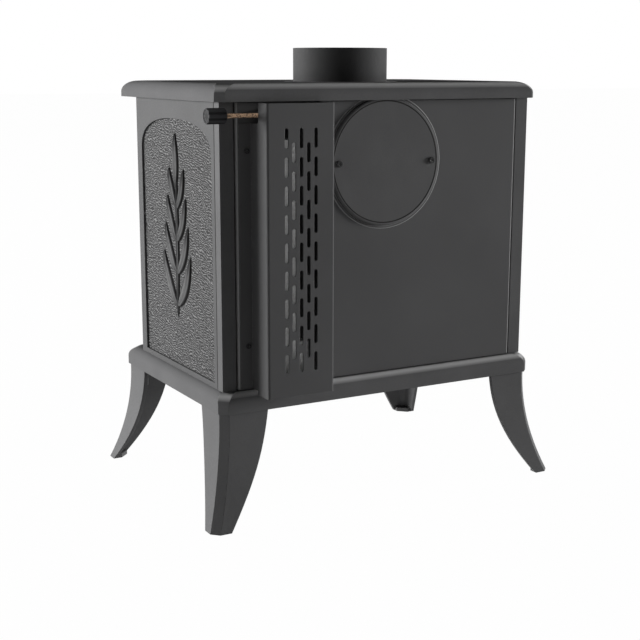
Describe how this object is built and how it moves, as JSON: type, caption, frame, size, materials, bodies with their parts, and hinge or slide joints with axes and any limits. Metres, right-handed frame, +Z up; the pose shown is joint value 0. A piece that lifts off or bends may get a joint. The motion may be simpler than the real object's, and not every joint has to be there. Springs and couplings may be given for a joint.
{
  "type": "wood stove",
  "caption": "Cast-iron box stove on curved legs, with a door, ash drawer, top flue collar, rear heat shield and a slotted air-channel cover with a side air knob.",
  "frame": {"origin": "on the floor, midway between the outer corners of the four feet", "axes": "+Z up along the flue, -Y out of the door, +Y out of the heat shield, +X towards the air control knob"},
  "size_m": [0.71, 0.517, 0.7935],
  "materials": {
    "cast_iron": "grey stove paint on cast iron, fine grain, worn lighter on the edges",
    "back_iron": "grey stove paint on the cast back, with sharper edges",
    "grate_iron": "raw cast iron, dull",
    "knob_iron": "satin near-black enamel",
    "sheet_steel": "matt grey stove paint on sheet steel",
    "painted_screws": "stove paint over steel screws",
    "bright_steel": "zinc-plated steel",
    "brass_rod": "dull copper-coloured brass",
    "liner_board": "pressed insulating board, sooted and grainy",
    "stove_glass": "ceramic stove glass, clear with a faint smoke tint",
    "rope": "grey glass-fibre rope and tape"
  },
  "bodies": {
    "stove": {"base_plate": "cast_iron", "leg_front_left": "cast_iron", "leg_front_right": "cast_iron", "leg_rear_left": "cast_iron", "leg_rear_right": "cast_iron", "leg_bolts": "bright_steel", "side_panel_left": "cast_iron", "side_panel_right": "cast_iron", "rear_plate": "back_iron", "front_frame": "cast_iron", "top_plate": "cast_iron", "tie_rods": "bright_steel", "flue_collar": "cast_iron", "flue_collar_gasket": "rope", "flue_collar_screws": "painted_screws", "blanking_disc": "back_iron", "blanking_disc_gasket": "rope", "blanking_disc_screws": "painted_screws", "rear_heat_shield": "sheet_steel", "channel_cover": "sheet_steel", "channel_cover_screws": "painted_screws", "air_box": "bright_steel", "rod_bracket": "sheet_steel", "grate": "grate_iron", "side_liner_left": "liner_board", "side_liner_right": "liner_board", "back_liner": "liner_board", "baffle_plate": "liner_board", "log_guard": "grate_iron", "hinge_pins": "bright_steel", "ash_runners": "bright_steel", "air_slider_screws": "painted_screws"},
    "door": {"door": "cast_iron", "door_glass": "stove_glass", "glass_gasket": "rope", "glass_clips": "bright_steel", "glass_screws": "bright_steel", "door_rope_gasket": "rope"},
    "door_latch": {"handle_spindle": "bright_steel", "handle_grip": "knob_iron", "latch_cam": "bright_steel"},
    "ash_drawer": {"ash_pan": "sheet_steel", "ash_front": "cast_iron", "ash_front_screws": "painted_screws", "ash_knob": "knob_iron"},
    "riddler": {"riddling_plate": "grate_iron", "riddling_knob": "grate_iron"},
    "air_wash": {"air_slider": "sheet_steel", "air_slider_knob": "knob_iron"},
    "air_knob": {"control_rod": "brass_rod", "rod_clips": "bright_steel", "control_knob": "knob_iron"},
    "shutter": {"air_shutter": "sheet_steel", "travelling_nut": "bright_steel"}
  },
  "joints": [
    {"name": "door_hinge", "type": "hinge", "parent": "stove", "child": "door", "pos_m": [-0.245, -0.195, 0.45], "axis": [0, 0, -1], "range_deg": [0, 110]},
    {"name": "door_latch_turn", "type": "hinge", "parent": "door", "child": "door_latch", "pos_m": [0.2, -0.2, 0.48725], "axis": [0, 1, 0], "range_deg": [0, 90]},
    {"name": "ash_drawer_slide", "type": "slide", "parent": "stove", "child": "ash_drawer", "axis": [0, -1, 0], "range_m": [0, 0.24]},
    {"name": "riddle_slide", "type": "slide", "parent": "stove", "child": "riddler", "axis": [0, -1, 0], "range_m": [0, 0.018]},
    {"name": "air_wash_slide", "type": "slide", "parent": "stove", "child": "air_wash", "axis": [1, 0, 0], "range_m": [0, 0.015]},
    {"name": "air_knob_turn", "type": "hinge", "parent": "stove", "child": "air_knob", "pos_m": [0.3, 0.221, 0.685], "axis": [1, 0, 0], "range_deg": [0, 2880]},
    {"name": "shutter_slide", "type": "slide", "parent": "stove", "child": "shutter", "axis": [1, 0, 0], "range_m": [0, 0.0101]}
  ],
  "couplings": [
    {"joint": "shutter_slide", "follows": "air_knob_turn", "m_per_rad": 0.00019894}
  ]
}
